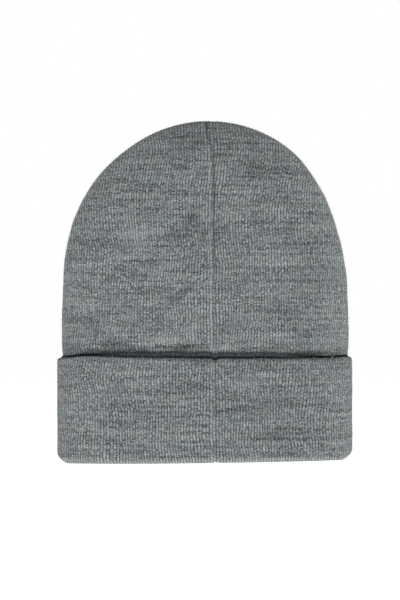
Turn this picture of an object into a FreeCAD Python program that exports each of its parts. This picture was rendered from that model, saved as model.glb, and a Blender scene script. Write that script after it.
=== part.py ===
"""Double-layer knit beanie with a turned-up cuff, in millimetres.

The origin is on the surface that the hat stands on, under the middle of its hem. +Z runs up
to the crown, and the sewn back of the hat faces -Y. The hat stands half open, as it does when
it is taken off, so its plan is an oval. Each ply of the knit is a sub-part of its own.
"""

import FreeCAD, Part
import math
import os
import Sketcher

from FreeCAD import Placement, Rotation, Vector

SIZES = {
    "cuff_width": 190,  # over the cuff, side to side
    "cuff_depth": 72,  # over the cuff, back to front
    "hat_height": 220,
    "cuff_height": 69,
    "crown_height": 115,  # the domed part of the hat's height
    "knit_thickness": 1.1,
    "ply_gap": 0.2,  # between the two plies of the doubled knit
    "slide_gap": 0.8,  # between the cuff and the wall that it is turned up over
    "hem_flat": 0.2,  # how far the hem's fold is pressed flat where it stands
    "hem_joint": 0.3,  # between the hem's fold and the wall above it
    "seam_offset": 6,  # the back seam's distance from the middle of the back
    "seam_clearance": 4,  # between a seam's last stitch and the edge or the apex
    "dart_length": 72,  # of each crown seam, measured down from the top
    "thread_diameter": 0.7,
    "thread_stand": 0.2,  # how far a stitch stands out of the knit
    "stitch_length": 3.6,
    "stitch_pitch": 5.2,
    "tack_length": 5,
    "label_width": 28,
    "label_beside_seam": 15.6,  # how much of the label's width is left of the back seam
    "label_drop": 24,
    "label_top": 46,  # height of the care label's sewn edge
    "label_ply": 0.4,
    "label_gap": 0.2,  # between the folded label's two plies
    "label_clearance": 1.1,  # between the label and the middle of the lining's back
}

doc = FreeCAD.newDocument("beanie")
nodes = []


class Length:
    """A length from the sheet: its number, and the expression that keeps it bound."""

    def __init__(self, number, text):
        self.number = number
        self.text = text

    def joined(self, sign, other, number):
        text = other.text if isinstance(other, Length) else str(other)
        return Length(number, f"({self.text} {sign} {text})")

    def __add__(self, other):
        return self.joined("+", other, self.number + number_of(other))

    def __sub__(self, other):
        return self.joined("-", other, self.number - number_of(other))

    def __mul__(self, other):
        return self.joined("*", other, self.number * number_of(other))

    def __truediv__(self, other):
        return self.joined("/", other, self.number / number_of(other))


def number_of(value):
    return value.number if isinstance(value, Length) else value


def fill_sheet():
    """One row for each driving dimension, with its name as the alias of its value."""
    sheet = doc.addObject("Spreadsheet::Sheet", "sizes")
    for row, (name, value) in enumerate(SIZES.items(), 1):
        sheet.set(f"A{row}", name)
        sheet.set(f"B{row}", str(value))
        sheet.setAlias(f"B{row}", name)
    doc.recompute()
    return {name: Length(getattr(sheet, name), f"sizes.{name}") for name in SIZES}


def bound(kind, name, **lengths):
    """A document object whose properties follow the sheet. base_z sets its height."""
    made = doc.addObject(kind, name)
    for prop, length in lengths.items():
        path = prop.replace("base_", ".Placement.Base.")
        made.setExpression(path, length.text)
    return made


def as_node(made, label):
    made.Label = label
    nodes.append(made)
    return made


size = fill_sheet()
knit = size["knit_thickness"]
zero = knit - knit
plies = knit * 2 + size["ply_gap"]  # through one doubled layer
wall_inset = plies + size["slide_gap"]  # from the cuff's face in to the shell's face
hem_radius = plies + size["slide_gap"] / 2
hem_centre = hem_radius - size["hem_flat"]
wall_base = hem_centre + size["hem_joint"]
spring = size["hat_height"] - size["crown_height"]  # where the crown starts to curve in
wall_width = size["cuff_width"] / 2 - wall_inset
wall_depth = size["cuff_depth"] / 2 - wall_inset


# --- The hat's two domed plies: an oval tube that carries half an ellipsoid ---


def domed_solid(name, inset):
    """A closed oval tube with its crown, lying inset inside the shell's outer face."""
    half_width = wall_width - inset
    half_depth = wall_depth - inset
    oval = bound(
        "Part::Ellipse",
        name + "_oval",
        MajorRadius=half_width,
        MinorRadius=half_depth,
        base_z=wall_base,
    )
    wall = bound("Part::Extrusion", name + "_wall", LengthFwd=spring - wall_base)
    wall.Base = oval
    wall.DirMode = "Custom"
    wall.Dir = Vector(0, 0, 1)
    wall.Solid = True
    crown = bound(
        "Part::Ellipsoid",
        name + "_crown",
        Radius1=size["crown_height"] - inset,
        Radius2=half_width,
        Radius3=half_depth,
        base_z=spring,
    )
    crown.Angle1 = 0
    crown.Angle2 = 90
    joined = doc.addObject("Part::Fuse", name)
    joined.Base = wall
    joined.Tool = crown
    return joined


def domed_ply(label, inset):
    ply = doc.addObject("Part::Cut", label)
    ply.Base = domed_solid(label + "_outside", inset)
    ply.Tool = domed_solid(label + "_inside", inset + knit)
    return as_node(ply, label)


# --- The cuff's two plies: a folded section carried round the hat's oval plan ---


def folded_section(name, points, folds):
    """A closed sketch through points, each an inset and a height, all bound to the sheet.

    Folds gives the sides that are half circles, with 1 for a fold over the top and -1 for
    one underneath. The sketch stands at the plan's end on X, and the inset runs inwards.
    """
    sketch = bound("Sketcher::SketchObject", name, base_x=size["cuff_width"] / 2)
    sketch.Placement.Rotation = Rotation(Vector(1, 0, 0), 90)
    corners = [Vector(-inset.number, height.number, 0) for inset, height in points]
    following = corners[1:] + corners[:1]
    for i, (a, b) in enumerate(zip(corners, following)):
        if i in folds:
            top = (a + b) / 2 + Vector(0, folds[i] * (b - a).Length / 2, 0)
            sketch.addGeometry(Part.Arc(a, top, b), False)
        else:
            sketch.addGeometry(Part.LineSegment(a, b), False)
    for i, corner in enumerate(corners):
        here = end_at(sketch, i, corner)
        before = (i - 1) % len(corners)
        there = end_at(sketch, before, corner)
        sketch.addConstraint(Sketcher.Constraint("Coincident", before, there, i, here))
        inset, height = points[i]
        hold(sketch, "DistanceX", i, here, inset * -1)
        hold(sketch, "DistanceY", i, here, height)
    for i in folds:
        hold(sketch, "DistanceY", i, 3, points[i][1])
    return sketch


def end_at(sketch, side, corner):
    """Which end of a side is at a corner: an arc may be held the other way round."""
    return 1 if (sketch.getPoint(side, 1) - corner).Length < 1e-6 else 2


def hold(sketch, kind, side, end, length):
    """Bind one coordinate of a side's end, or of its centre, to the sheet."""
    datum = Sketcher.Constraint(kind, -1, 1, side, end, length.number)
    index = sketch.addConstraint(datum)
    sketch.setExpression(f"Constraints[{index}]", length.text)


def swept_round(name, section):
    plan = bound(
        "Part::Ellipse",
        name + "_plan",
        MajorRadius=size["cuff_width"] / 2,
        MinorRadius=size["cuff_depth"] / 2,
    )
    ring = doc.addObject("Part::Sweep", name)
    ring.Sections = [section]
    ring.Spine = (plan, ["Edge1"])
    ring.Solid = True
    ring.Frenet = True
    return ring


def cuff_face():
    """The ply that shows: up the front, over the top lip, and round under the hem."""
    lip = plies / 2
    shoulder = size["cuff_height"] - lip
    back_of_fold = hem_radius * 2
    points = [
        (zero, hem_centre),
        (zero, shoulder),
        (plies, shoulder),
        (knit, shoulder),
        (knit, hem_centre),
        (back_of_fold - knit, hem_centre),
        (back_of_fold, hem_centre),
    ]
    section = folded_section("cuff_face_section", points, {1: 1, 4: -1, 6: -1})
    ring = swept_round("cuff_face_ring", section)
    ground = bound(
        "Part::Box",
        "ground",
        Length=size["cuff_width"] * 2,
        Width=size["cuff_depth"] * 2,
        Height=size["cuff_height"],
        base_x=size["cuff_width"] * -1,
        base_y=size["cuff_depth"] * -1,
        base_z=size["cuff_height"] * -1,
    )
    face = doc.addObject("Part::Cut", "cuff_face_knit")
    face.Base = ring
    face.Tool = ground
    as_node(face, "cuff_face_knit")


def cuff_back():
    """The ply behind it, which turns under inside the same fold."""
    near = knit + size["ply_gap"]
    far = hem_radius * 2 - near
    top = size["cuff_height"] - plies / 2 - size["ply_gap"]
    points = [
        (near, hem_centre),
        (near, top),
        (plies, top),
        (plies, hem_centre),
        (far - knit, hem_centre),
        (far, hem_centre),
    ]
    section = folded_section("cuff_back_section", points, {3: -1, 5: -1})
    as_node(swept_round("cuff_back_knit", section), "cuff_back_knit")


# --- The threads: rows of short stitches, each sunk in the knit that it holds ---


def on_dome(across, along, height, inset):
    """A point on the dome inset inside the shell's face.

    Across and along are shares of the half width and the half depth, and lie on the plan's
    oval. Height runs up from the ground.
    """
    rise = max(0, height - spring.number) / (size["crown_height"].number - inset)
    taper = math.sqrt(max(0, 1 - rise**2))
    x = (wall_width.number - inset) * taper * across
    y = (wall_depth.number - inset) * taper * along
    return Vector(x, y, height)


def spaced(path, first, last, pitch):
    """Points of path(share) that are pitch apart, with the way that the path runs at each."""
    steps = 2000
    line = [path(first + (last - first) * i / steps) for i in range(steps + 1)]
    run = 0
    found = []
    for a, b in zip(line, line[1:]):
        run += (b - a).Length
        if run >= pitch * (len(found) + 0.5):
            found.append((a, (b - a).normalize()))
    return found


def stitch_row(label, path, first, last):
    add_stitches(label, spaced(path, first, last, size["stitch_pitch"].number))


def add_stitches(label, places, reach=size["stitch_length"].number):
    """One short round stitch at each place, centred on it and running the way it says."""
    radius = size["thread_diameter"].number / 2
    stitches = [
        Part.makeCylinder(radius, reach, point - way * reach / 2, way)
        for point, way in places
    ]
    made = doc.addObject("Part::Feature", label)
    made.Shape = Part.makeCompound(stitches)
    made.Placement = Placement()
    return as_node(made, label)


def crown_path(across, along, inset):
    """Up one side of the crown, from a dart's foot to the top: share 0 to 1."""
    foot = size["hat_height"].number - size["dart_length"].number
    angle_at_foot = math.asin((foot - spring.number) / size["crown_height"].number)

    def point(share):
        angle = angle_at_foot + (math.pi / 2 - angle_at_foot) * share
        tall = size["crown_height"].number - inset
        return on_dome(across, along, spring.number + tall * math.sin(angle), inset)

    return point


def back_path(inset, base):
    """Up the back seam, from its foot at height base to the top of the crown: share 0 to 2."""
    across = size["seam_offset"].number / wall_width.number
    along = -math.sqrt(1 - across**2)

    def point(share):
        if share <= 1:
            return on_dome(across, along, base + (spring.number - base) * share, inset)
        tall = size["crown_height"].number - inset
        angle = math.pi / 2 * (share - 1)
        return on_dome(across, along, spring.number + tall * math.sin(angle), inset)

    return point


def hat_threads():
    """The back seam, three crown seams and a tack at the apex, in the shell and the lining."""
    clear = size["seam_clearance"].number
    sunk = size["thread_diameter"].number / 2 - size["thread_stand"].number
    lining_inset = plies.number - sunk
    near_top = 1 - clear / size["dart_length"].number
    foot = wall_base.number + clear
    stitch_row("shell_back_seam_thread", back_path(sunk, foot), 0, 1 + near_top)
    stitch_row("lining_back_seam_thread", back_path(lining_inset, foot), 0, 1 + near_top)
    sides = {"left": (-1, 0), "right": (1, 0), "front": (0, 1)}
    for side, (across, along) in sides.items():
        path = crown_path(across, along, sunk)
        stitch_row(f"crown_dart_{side}_thread", path, 0, near_top)
    pitch = size["stitch_pitch"].number
    inner = [
        place
        for across, along in sides.values()
        for place in spaced(crown_path(across, along, lining_inset), 0, near_top, pitch)
    ]
    add_stitches("lining_dart_threads", inner)
    for label, inset in (("crown_apex_tack", sunk), ("lining_apex_tack", lining_inset)):
        apex = Vector(0, 0, size["hat_height"].number - inset)
        add_stitches(label, [(apex, Vector(0, 1, 0))], size["tack_length"].number)


def cuff_thread():
    """The back seam where it runs down the face of the cuff."""
    sunk = size["thread_diameter"].number / 2 - size["thread_stand"].number
    half_width = size["cuff_width"].number / 2
    x = size["seam_offset"].number
    y = -(size["cuff_depth"].number / 2 - sunk) * math.sqrt(1 - (x / half_width) ** 2)
    clear = size["seam_clearance"].number
    top = size["cuff_height"].number

    def path(share):
        return Vector(x, y, top * share)

    stitch_row("cuff_back_seam_thread", path, clear / top, 1 - clear / top)


# --- The care label: one blank tape, folded at its foot and sewn in at its top ---


def label_place():
    """The label's left edge, and its face towards the lining."""
    left = size["seam_offset"] - size["label_beside_seam"]
    back = plies + size["label_clearance"] - wall_depth
    return left, back


def care_label():
    left, back = label_place()
    tape = bound(
        "Part::Box",
        "label_tape",
        Length=size["label_width"],
        Width=size["label_ply"] * 2 + size["label_gap"],
        Height=size["label_drop"],
        base_x=left,
        base_y=back,
        base_z=size["label_top"] - size["label_drop"],
    )
    inside = bound(
        "Part::Box",
        "label_inside",
        Length=size["label_width"],
        Width=size["label_gap"],
        Height=size["label_drop"],
        base_x=left,
        base_y=back + size["label_ply"],
        base_z=size["label_top"] - size["label_drop"] + size["label_ply"],
    )
    label = doc.addObject("Part::Cut", "care_label")
    label.Base = tape
    label.Tool = inside
    as_node(label, "care_label")


def label_stitches():
    """A row across the lining, just above the label's sewn edge."""
    left = label_place()[0].number
    width = size["label_width"].number
    sunk = size["thread_diameter"].number / 2 - size["thread_stand"].number
    inset = plies.number - sunk
    height = size["label_top"].number + size["thread_diameter"].number * 2

    def path(share):
        across = (left + width * share) / (wall_width.number - inset)
        return on_dome(across, -math.sqrt(1 - across**2), height, inset)

    stitch_row("care_label_stitches", path, 0, 1)


def check_and_export():
    """Stop on any failed object, then write one STEP file for each sub-part."""
    doc.recompute()
    failed = [o.Name for o in doc.Objects if {"Invalid", "Error"} & set(o.State)]
    if failed:
        raise SystemExit(f"these objects did not recompute: {failed}")
    os.makedirs("parts", exist_ok=True)
    for node in nodes:
        if node.Shape.isNull() or not node.Shape.isValid():
            raise SystemExit(f"{node.Label} has no valid shape")
    for node in nodes:
        node.Shape.exportStep(f"parts/{node.Label}.step")
        solids = len(node.Shape.Solids)
        print(f"{node.Label}: {node.Shape.Volume:.1f} mm3 in {solids} solids")


domed_ply("shell_outer_knit", zero)
domed_ply("shell_lining_knit", knit + size["ply_gap"])
cuff_face()
cuff_back()
hat_threads()
cuff_thread()
care_label()
label_stitches()
check_and_export()
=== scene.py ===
import math

import bpy
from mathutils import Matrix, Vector, noise


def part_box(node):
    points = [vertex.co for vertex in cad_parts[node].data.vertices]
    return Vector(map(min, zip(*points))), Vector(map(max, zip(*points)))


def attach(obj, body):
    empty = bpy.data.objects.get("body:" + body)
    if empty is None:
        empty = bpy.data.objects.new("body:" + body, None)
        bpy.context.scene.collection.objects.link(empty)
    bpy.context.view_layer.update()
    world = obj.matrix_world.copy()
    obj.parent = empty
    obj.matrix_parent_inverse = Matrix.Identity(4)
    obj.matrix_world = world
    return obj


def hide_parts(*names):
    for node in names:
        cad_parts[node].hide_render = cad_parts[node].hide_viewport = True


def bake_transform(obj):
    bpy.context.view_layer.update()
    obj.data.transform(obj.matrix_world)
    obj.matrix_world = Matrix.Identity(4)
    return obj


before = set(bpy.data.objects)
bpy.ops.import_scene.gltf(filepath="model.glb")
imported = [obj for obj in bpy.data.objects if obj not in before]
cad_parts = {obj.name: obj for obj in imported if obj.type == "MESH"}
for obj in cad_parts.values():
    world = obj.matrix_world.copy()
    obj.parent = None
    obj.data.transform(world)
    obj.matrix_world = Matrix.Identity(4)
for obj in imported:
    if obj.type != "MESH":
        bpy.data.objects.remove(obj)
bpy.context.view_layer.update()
mm = 0.001

shellLow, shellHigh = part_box("shell_outer_knit")
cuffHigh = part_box("cuff_face_knit")[1]
labelLow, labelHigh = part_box("care_label")
tackLow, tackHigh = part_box("care_label_stitches")

yarn = {
    "walesRound": 230,  # knitted columns round the hat
    "columnsPerWale": 4,  # of the mesh
    "courseHeight": 1.33 * mm,
    "relief": 0.22 * mm,  # how far a wale stands above the gap beside it
}
hat = {
    "planFullness": 2.25,  # 2 is an ellipse, more is squarer
    "crownFullness": 2.5,
    "crownLift": 0.15 * mm,
    "springShare": 0.432,  # of the height, where the crown starts to curve in
    "plyThickness": 1.1 * mm,
    "plyGap": 0.2 * mm,
    "springRow": 95,  # its height on the scale of these rows: from, to and how many, then the crown's
    "outerRows": (((0, 58, 6), (58, 64, 4), (64, 80, 25), (80, 95, 7)), 53),
    "liningRows": (((0, 95, 32),), 26),
    "backRows": (((0, 60, 4), (60, 80, 10), (80, 95, 3)), 12),
    "backStep": 4,  # how many columns of the face one of the back is as wide as
    "domeEasing": 0.08,  # sets the crown's rows closer at the top
}
spring = shellHigh.z * hat["springShare"]
cuff = {
    "shift": 0.2 * mm,  # it sits a little to one side
    "lipHeight": 67.6,  # mm, of its upper edge
    "lipRise": 1.7,  # mm, and how much higher that is at the left
    "lipNotch": 1.1,  # mm, where the seam crosses it
    "lipWaver": 0.35,  # mm
    "hemRise": 2.2,  # mm, of the lower edge at the right
    "lipRadius": 1.2 * mm,
    "hemRadius": 2.8 * mm,
    "faceRows": 44,
    "cornerAcross": 3.1 * mm,  # how far the hem rounds in at the sides
    "cornerUp": 6 * mm,
    "cornerLift": 2.2 * mm,  # and how far it rises there
    "topAcross": 1.0 * mm,  # how far the lip rounds in at the sides
    "topDown": 2.5 * mm,
    "edgeRise": 3.4 * mm,  # of the inner ply's edge over the lip, painted dark as the shadow there
    "edgeSoften": 0.3 * mm,
    "edgeRings": (0.4, 0.55, 0.75),  # shares of that rise
    "backRows": 24,
}
# dents are x, z, half length, half height, tilt and depth, in mm and degrees
soft = {
    "dents": (
        (-7.5, 158.5, 4.6, 2.6, 0, 1.7),
        (-16, 147, 8, 3.2, 10, 0.9),
        (-17, 108, 8, 2.3, 38, 1.35),
        (-15, 121, 9, 2.2, 6, 0.4),
        (-58, 76.5, 10, 2.4, -4, 0.8),
        (-14, 74.3, 9, 1.9, 14, 0.9),
        (-24, 79.5, 17, 2.6, 3, -0.9),
        (13, 74.5, 9, 2.2, 0, -0.85),
        (35, 77, 15, 2, 0, -0.6),
        (-43, 98, 8, 3, 0, -0.5),
        (-3, 90, 5, 3, 0, -0.5),
        (12, 128, 16, 3, -6, 0.35),
        (46, 150, 18, 4, 4, 0.4),
        (-52, 140, 18, 5, 0, 0.4),
        (54, 96, 16, 4, -3, 0.4),
    ),
    "cuffDents": (
        (-40, 30, 16, 5, -5, 0.35),
        (-12, 47, 14, 3, 8, 0.4),
        (30, 38, 18, 4, 6, 0.35),
        (58, 20, 16, 4, -6, 0.3),
        (-1, 65, 7, 1.8, 0, 0.7),
        (44, 43, 6, 1.6, -6, 0.5),
    ),
    "waves": 0.55,  # mm, of the wall
    "cuffWaves": 0.45,  # mm
    "bulge": 2.1,  # mm, of the wall over the cuff's lip
    "dive": 0.9,  # mm, of the wall behind the lip
}
seam = {
    "start": 6.8,  # mm to the right of the middle, at the hem
    "slope": 0.0085,  # how much it leans back on its way up
    "topShift": 3.9,  # mm, its last bend to the tack
    "tack": (1.0, 219, 1.4, 211.5),  # the dark tuck at the top, x and z of its ends in mm
    "tuck": (7.5, 214.5, 2.2, 216.5),  # the fainter one beside it
    "grooveDepth": 0.75,  # mm
    "grooveWidth": 0.6,  # mm
    "cuffShare": 0.3,  # how much of the groove's depth is left on the cuff
    "hollow": 0.35,  # mm, over 7 mm to each side
    "cuffHollow": 0.3,  # mm, over 6 mm
    "ridge": 0.3,  # mm, of the edge on its left
    "tuckDepth": 0.5,  # mm
    "tuckWidth": 0.7,  # mm
    "threadShift": 0.3 * mm,  # of the stitches from the middle of the seam
    "fade": (122, 144, 0.22),  # it sinks between these heights in mm, to this share
}


def evenly(low, high, steps):
    return [low + (high - low) * k / steps for k in range(steps + 1)]


def waver(*place):  # smooth noise, the same on every run
    return noise.noise(Vector(place))


def linked(name, data):
    made = bpy.data.objects.new(name, data)
    bpy.context.collection.objects.link(made)
    return made


shadow = {  # how deep each painted shade is, from 0 to 1; the ones taken away are painted highlights
    # painted shadow on the wall over the cuff's lip, in the seam's groove, in the tucks, behind the
    # cuff and on and under its lip
    "overLip": 0.2,
    "closeOverLip": 0.4,
    "seam": 0.68,
    "besideSeam": 0.22,  # painted highlight on the raised knit beside a seam
    "cuffSeam": 0.2,
    "dent": 0.42,  # painted shade for each mm of a dent, painted highlight for each mm of a bulge
    "tuck": 0.42,
    "behindCuff": 0.85,
    "lip": 0.4,
    "underLip": 0.12,
    "hem": 0.4,  # painted light along the hem, as bounced up from the bright floor below
}


def smooth(low, high, value):  # 0 below low, 1 above high, eased between
    share = min(1, max(0, (value - low) / (high - low)))
    return share * share * (3 - 2 * share)


def hill(value, middle, width):
    return math.exp(-(((value - middle) / width) ** 2))


def planY(x, halfWidth, halfDepth):
    share = min(1, abs(x / halfWidth))
    n = hat["planFullness"]
    return halfDepth * (1 - share**n) ** (1 / n)


def runsAlong(line):  # how far along the line each of its points lies
    runs = [0]
    for a, b in zip(line, line[1:]):
        runs.append(runs[-1] + math.dist(a, b))
    return runs


def evenAcross(halfWidth, halfDepth, count):  # x of each column, evenly spaced round the plan
    steps = 6000
    power = 2 / hat["planFullness"]
    line = []
    for i in range(steps + 1):
        angle = math.pi * i / steps
        c, s = math.cos(angle), math.sin(angle)
        x = -math.copysign(abs(c) ** power, c) * halfWidth
        line.append((x, halfDepth * abs(s) ** power))
    runs = runsAlong(line)
    found, k = [], 0
    for i in range(count + 1):
        goal = runs[-1] * i / count
        while k < steps - 1 and runs[k + 1] < goal:
            k += 1
        share = (goal - runs[k]) / (runs[k + 1] - runs[k])
        found.append(line[k][0] + (line[k + 1][0] - line[k][0]) * share)
    return found


def lean(z):  # the crown stands a little to one side
    up = z / mm
    return (0.45 + 2.2 * smooth(178, 208, up) - 0.9 * hill(up, 153, 18)) * mm


def seamX(z, leaning=True):  # the back seam leans, then runs to the tack at the top
    up = z / mm
    across = seam["start"] - seam["slope"] * up - seam["topShift"] * smooth(196, 216, up)
    across += 0.3 * waver(1.5, up / 6, 3)
    return across * mm - (lean(z) if leaning else 0)


def seamPull(z):  # how hard the seam draws the knit in, 1 on the crown and less below
    low, high, least = seam["fade"]
    pull = least + (1 - least) * smooth(low, high, z / mm)
    return pull * (1 - 0.5 * hill(z / mm, 207, 7))


def sideShare(x):  # 0 over most of the cuff's width, rising to 1 at its side folds
    return max(0, 1 - (1 - min(1, abs(x) / cuffHigh.x)) / 0.055) ** 2


def lipZ(x, back):  # height of the cuff's upper edge
    across = x / mm
    edge = cuff["lipHeight"] + cuff["lipRise"] * ((38 - across) / 130) ** 2
    edge += 0.5 * smooth(68, 92, across)
    edge -= 1.5 * smooth(76, 94, -across)
    if back:
        edge -= cuff["lipNotch"] * hill(across, 6.3, 1.9)
    edge += cuff["lipWaver"] * waver(across / 17, 4.2 if back else 9.1, 0)
    return edge * mm


def hemZ(x, back):  # height of the hem's lower edge
    across = x / mm
    edge = cuff["hemRise"] * (max(0, across + 62) / 152) ** 1.5
    if back:
        edge += 0.7 * hill(across, 6.9, 1.3)
    return edge * mm + cuff["cornerLift"] * sideShare(x)


def grooveAlong(x, z, start, end, width):  # 1 on a line from start to end, fading beside it
    ax, az, bx, bz = *start, *end
    dx, dz = bx - ax, bz - az
    share = min(1, max(0, ((x - ax) * dx + (z - az) * dz) / (dx * dx + dz * dz)))
    away = math.hypot(x - ax - dx * share, z - az - dz * share)
    return math.exp(-((away / width) ** 2))


def dent(x, z, spec):
    cx, cz, length, height, tilt, depth = spec
    c, s = math.cos(math.radians(tilt)), math.sin(math.radians(tilt))
    along = ((x - cx) * c + (z - cz) * s) / length
    up = ((z - cz) * c - (x - cx) * s) / height
    return -depth * math.exp(-along * along - up * up)


def tucks(across, up):  # 1 in the small folds where the crown is gathered
    shift = lean(up * mm) / mm
    lines = 0
    for x, z, endX, endZ in (seam["tack"], seam["tuck"]):
        lines += grooveAlong(across + shift, up, (x, z), (endX, endZ), seam["tuckWidth"])
    return min(1, lines) * smooth(206, 211, up)


def wallSwell(x, z, back):  # how far the wall stands out, in metres, at a place on it
    across, up = x / mm, z / mm
    above = up - lipZ(x, back) / mm
    side = 0 if back else 40
    loose = smooth(2, 16, above)
    wave = waver(across / 26, up / 20, side)
    wave += 0.5 * waver(across / 12, up / 9, side + 7)
    swell = soft["waves"] * wave * loose
    fold = waver(across / 21, 3.3, side)
    middle = 1 - smooth(66, 88, abs(across))
    bulge = (soft["bulge"] + 0.5 * fold) * smooth(2.3, 6.6, above) * (0.2 + 0.8 * middle)
    swell += bulge * (1 - smooth(9 + 3 * fold, 32, above))
    swell -= soft["dive"] * (1 - smooth(1.5, 3.8, above)) * smooth(-9, -2, above) * middle
    if back:
        swell += sum(dent(across, up, spec) for spec in soft["dents"]) * loose
        beside = across - seamX(z) / mm
        groove = seam["grooveDepth"] * hill(beside, 0.3, seam["grooveWidth"]) * seamPull(z)
        swell -= (groove + seam["hollow"] * hill(beside, 0, 7)) * loose
        swell += seam["ridge"] * hill(beside, -1.3, 0.8) * loose
        swell -= seam["tuckDepth"] * tucks(across, up)
    return swell * mm


def wallShade(x, z, back):  # painted shade, 1 where the knit lies in deep shadow; below 0 a painted highlight
    across, up = x / mm, z / mm
    above = up - lipZ(x, back) / mm
    fold = waver(across / 15, 8.8, 0 if back else 40)
    # painted shadow on the wall over the cuff's lip, fading up the wall
    shade = shadow["overLip"] * (1 - smooth(3, 12 + 6 * fold, above))
    shade += shadow["closeOverLip"] * (1 - smooth(2.8, 6.4, above))
    shade *= smooth(-6, -2, above) * (1 - 0.7 * smooth(70, 87, abs(across)))
    if back:
        beside = across - seamX(z) / mm
        # painted shade in the seam's groove, in dents and in tucks; painted highlight on the seam's
        # raised edge and on bulges
        dark = shadow["seam"] * hill(beside, 0.5, 0.52) * seamPull(z)
        shade += dark - shadow["besideSeam"] * hill(beside, -1.8, 1.1)
        shade -= sum(dent(across, up, spec) for spec in soft["dents"]) * shadow["dent"]
        shade += shadow["tuck"] * tucks(across, up)
    return shade


# painted shade on the cuff: on its inner side against the wall, along and under its lip, in its seam
# and in dents; painted highlight beside the seam
def cuffShade(x, z, back, inset):
    across = x / mm
    under, over = (lipZ(x, back) - z) / mm, (z - hemZ(x, back)) / mm
    lit = smooth(0.9 * mm, 2.2 * mm, inset)
    shade = shadow["behindCuff"] * lit * smooth(50 * mm, 60 * mm, z)
    edge = shadow["lip"] * (1 - smooth(0.2, 1.9, under))
    shade += (1 - lit) * (edge + shadow["underLip"] * (1 - smooth(2, 11, under)))
    # painted light along the hem, as bounced up from the bright floor
    shade -= shadow["hem"] * (1 - smooth(0.0, 5.0, over)) * (1 - lit)
    if back:
        beside = across - seamX(z, False) / mm
        light = shadow["besideSeam"] * hill(beside, -1.5, 1.0)
        shade += shadow["cuffSeam"] * hill(beside, 0.5, 0.5) - light
        shade -= sum(dent(across, z / mm, spec) for spec in soft["cuffDents"]) * shadow["dent"]
    return shade


def newBuild():
    return {"points": [], "faces": [], "loops": [], "shades": [], "fuzz": []}


def addFace(build, corners):  # each corner is a point's number and its wale and course
    kept = []
    for corner in corners:
        if corner[0] not in [k[0] for k in kept]:
            kept.append(corner)
    if len(kept) > 2:
        build["faces"].append([k[0] for k in kept])
        build["loops"].extend(k[1] for k in kept)


def bridge(build, fine, coarse, inward=False):  # close a gap between a fine and a coarse ring
    ratio = len(fine) // len(coarse)
    for j, near in enumerate(coarse):
        far = coarse[(j + 1) % len(coarse)]
        ring = [fine[(j * ratio + k) % len(fine)] for k in range(ratio + 1)]
        half = ratio // 2
        faces = [(ring[k + 1], ring[k], near if k < half else far) for k in range(ratio)]
        faces.insert(half, (ring[half], near, far))
        for face in faces:
            addFace(build, face[::-1] if inward else face)


def finishMesh(build, name, material, uvName="loops"):
    mesh = bpy.data.meshes.new(name)
    mesh.from_pydata(build["points"], [], build["faces"])
    layer = mesh.uv_layers.new(name=uvName)
    layer.data.foreach_set("uv", [n for pair in build["loops"] for n in pair])
    for label, values in (("shade", build["shades"]), ("fuzz", build["fuzz"])):
        values = values or [0] * len(build["points"])
        mesh.attributes.new(label, "FLOAT", "POINT").data.foreach_set("value", values)
    mesh.materials.append(material)
    mesh.shade_smooth()
    piece = linked(name, mesh)
    mesh.validate()
    print(name, len(mesh.vertices), "points", len(mesh.polygons), "faces")
    return piece


def spread(rows):  # heights from (from, to, rows) stretches, in mm
    heights = [rows[0][0]]
    for low, high, count in rows:
        heights += [low + (high - low) * (i + 1) / count for i in range(count)]
    return heights


def drift(x, z, back):  # how far the wales waver to one side, in wales
    side = 17 if back else 61
    slow = waver(x / (34 * mm), z / (30 * mm), side)
    return 1.3 * slow + 0.5 * waver(x / (15 * mm), z / (11 * mm), side + 3)


def waleRelief(wale):  # -1 in the gap between two wales, 0 at the top of one
    return abs(math.sin(math.pi * wale)) ** 0.7 - 1


def crownTop(inset):
    return shellHigh.z + hat["crownLift"] - inset


def crownRise(x, inset):  # how high the crown's edge stands at x, from 0 to 1
    return max(0, 1 - (x / (shellHigh.x - inset)) ** 2) ** (1 / hat["crownFullness"])


def domeShare(z, inset):  # how much of the plan is left at a height on the crown
    rise = min(1, max(0, (z - spring) / (crownTop(inset) - spring)))
    return max(1e-6, 1 - rise ** hat["crownFullness"]) ** 0.5


def domeSpot(x, z, back, inset):
    share = domeShare(z, inset)
    y = planY(x, (shellHigh.x - inset) * share, (shellHigh.y - inset) * share)
    return Vector((x, -y if back else y, z))


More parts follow.
